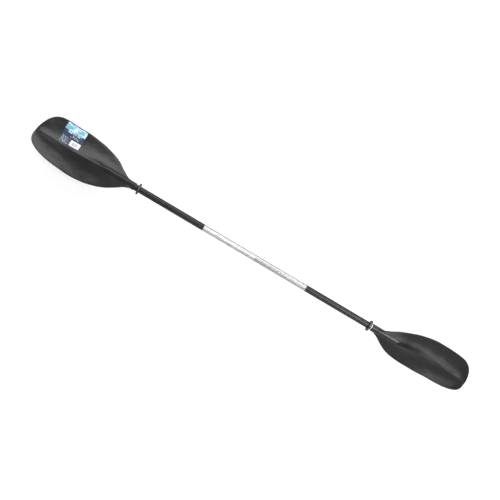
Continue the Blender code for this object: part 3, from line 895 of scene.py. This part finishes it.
def add_spring(surface):
    """The button's V-shaped leaf spring."""
    bend_x, bend_r, half_width, half_leaf = 0.062, 0.0030, 0.0035, 0.0003
    turns = [math.radians(a) for a in range(-80, 81, 8)]
    line = [Vector((0.004, -0.00815)), Vector((0.022, -0.00815))]
    line += [Vector((bend_x + bend_r * math.cos(a), bend_r * math.sin(a))) for a in turns]
    line += [Vector((0.022, 0.0088)), Vector((0.010, 0.0093)), Vector((0.004, 0.0086))]
    shape = bmesh.new()
    sections = []
    for n, point in enumerate(line):
        along = (line[min(n + 1, len(line) - 1)] - line[max(n - 1, 0)]).normalized()
        out = Vector((-along.y, along.x)) * half_leaf
        corners = [(out, -half_width), (out, half_width), (-out, half_width), (-out, -half_width)]
        sections.append([shape.verts.new((point.x + o.x, y, point.y + o.y)) for o, y in corners])
    for one, other in zip(sections, sections[1:]):
        bridge(shape, one, other)
    shape.faces.new(sections[0])
    shape.faces.new(sections[-1])
    mesh = from_bmesh("spring", shape)
    add_piece("lock_spring", mesh, Matrix(), "left_half", surface, "snap_spring")


def add_centre_joint(surfaces):
    add_ferrule(surfaces["nylon"])
    add_end_cap(surfaces["nylon"])
    add_seal(surfaces["rubber"])
    add_button(surfaces["steel"])
    add_spring(surfaces["steel"])
    for n, x in enumerate(FERRULE_RIVETS_X, 1):
        add_rivet(
            f"joint_rivet_{n}", f"ferrule_rivet_{n}", x, TUBE_R + GAP, FERRULE_BORE_R - GAP, 0.0,
            "left_half", surfaces["rivet"],
        )


# Stage


def add_floor():
    """A plain floor just under the paddle, glowing so that it looks white and shadows stay faint."""
    low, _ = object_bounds()
    half = FLOOR_HALF
    mesh = bpy.data.meshes.new("floor")
    corners = [(-half, -half), (half, -half), (half, half), (-half, half)]
    mesh.from_pydata([(x, y, low.z - FLOOR_DROP) for x, y in corners], [], [(0, 1, 2, 3)])
    made = bpy.data.materials.new("floor")
    made.use_nodes = True
    shader = made.node_tree.nodes["Principled BSDF"]
    shader.inputs["Base Color"].default_value = (FLOOR_GREY, FLOOR_GREY, FLOOR_GREY, 1)
    shader.inputs["Roughness"].default_value = 0.9
    shader.inputs["Specular IOR Level"].default_value = 0.1
    shader.inputs["Emission Color"].default_value = (1, 1, 1, 1)
    shader.inputs["Emission Strength"].default_value = FLOOR_GLOW
    mesh.materials.append(made)
    floor = bpy.data.objects.new("floor", mesh)
    bpy.context.scene.collection.objects.link(floor)


# Long soft lights that run beside the shaft. Each has a strength, where it starts and ends as an
# angle from straight up towards +Y, where it starts and ends along X on a globe of radius 1, and how
# softly its long and its short sides fade. DIM is the sky's glow between them. HORIZON_FADE is the
# height, on the same globe, round which the pale horizon falls to it.
SOFT_LIGHTS = (
    (10.0, 26, 52, -0.75, 0.75, 10, 0.30),
    (28.0, -34, -2, 0.15, 0.40, 12, 0.08),
    (10.5, -101, -75, 0.02, 0.46, 14, 0.20),
)
DIM = 0.06
HORIZON_FADE = 0.14


def soft_step(tree, value, middle, width):
    return add_node(
        tree, "ShaderNodeMapRange",
        {"Value": value, "From Min": middle - width / 2, "From Max": middle + width / 2},
        interpolation_type="SMOOTHSTEP",
    ).outputs[0]


def soft_band(tree, value, start, end, width):
    rise = soft_step(tree, value, start, width)
    return calculated(tree, "SUBTRACT", rise, soft_step(tree, value, end, width))


def add_lights():
    """A dim studio, pale down at the floor, with the soft lights overhead."""
    world = bpy.data.worlds.new("studio")
    bpy.context.scene.world = world
    world.use_nodes = True
    tree = world.node_tree
    way = add_node(tree, "ShaderNodeTexCoord").outputs["Generated"]
    along, beside, above = add_node(tree, "ShaderNodeSeparateXYZ", {0: way}).outputs
    lean = calculated(tree, "ARCTAN2", beside, above)
    faded = soft_step(tree, above, HORIZON_FADE, HORIZON_FADE)
    glow = calculated(tree, "SUBTRACT", 1.0, calculated(tree, "MULTIPLY", faded, 1.0 - DIM))
    for strength, start, end, x_start, x_end, lean_fade, x_fade in SOFT_LIGHTS:
        start, end, lean_fade = (math.radians(angle) for angle in (start, end, lean_fade))
        long_side = soft_band(tree, lean, start, end, lean_fade)
        short_side = soft_band(tree, along, x_start, x_end, x_fade)
        light = calculated(tree, "MULTIPLY", long_side, short_side)
        light = calculated(tree, "MULTIPLY", light, strength)
        glow = calculated(tree, "ADD", light, glow)
    tree.nodes["Background"].inputs["Color"].default_value = (1, 1, 1, 1)
    tree.links.new(glow, tree.nodes["Background"].inputs["Strength"])


def add_camera():
    """Looks down at the paddle, a little from its left end; the shaft slopes down to the right."""
    tilt = Vector((0, -math.sin(VIEW_ROLL), math.cos(VIEW_ROLL)))
    back = tilt * math.cos(SHAFT_YAW) - Vector((1, 0, 0)) * math.sin(SHAFT_YAW)
    shaft = Vector((1, 0, 0)) - back * back.x
    shaft.normalize()
    across_shaft = back.cross(shaft)
    right = shaft * math.cos(SHAFT_SLOPE) + across_shaft * math.sin(SHAFT_SLOPE)
    up = across_shaft * math.cos(SHAFT_SLOPE) - shaft * math.sin(SHAFT_SLOPE)
    camera = bpy.data.objects.new("camera", bpy.data.cameras.new("camera"))
    bpy.context.scene.collection.objects.link(camera)
    camera.data.lens = LENS_MM
    camera.data.clip_end = 100
    place = back * CAMERA_DISTANCE + right * AIM_RIGHT + up * AIM_UP
    turned = Matrix((right, up, back)).transposed().to_4x4()
    camera.matrix_world = Matrix.Translation(place) @ turned
    bpy.context.scene.camera = camera


SURFACES = {
    "blade": blade_plastic(),
    "aluminium": shaft_aluminium(),
    "grip": grip_sleeve(),
    "rubber": ring_rubber(),
    "nylon": ferrule_nylon(),
    "rivet": rivet_aluminium(),
    "steel": spring_steel(),
    "foam": foam(),
}
for hand, side in (("left", -1), ("right", 1)):
    add_half(hand, side, SURFACES)
add_piece("label", label_mesh(), Matrix(), "left_half", label_film(), "blade_label")
add_centre_joint(SURFACES)

add_floor()
add_lights()
add_camera()
bpy.context.scene.view_settings.view_transform = "Standard"
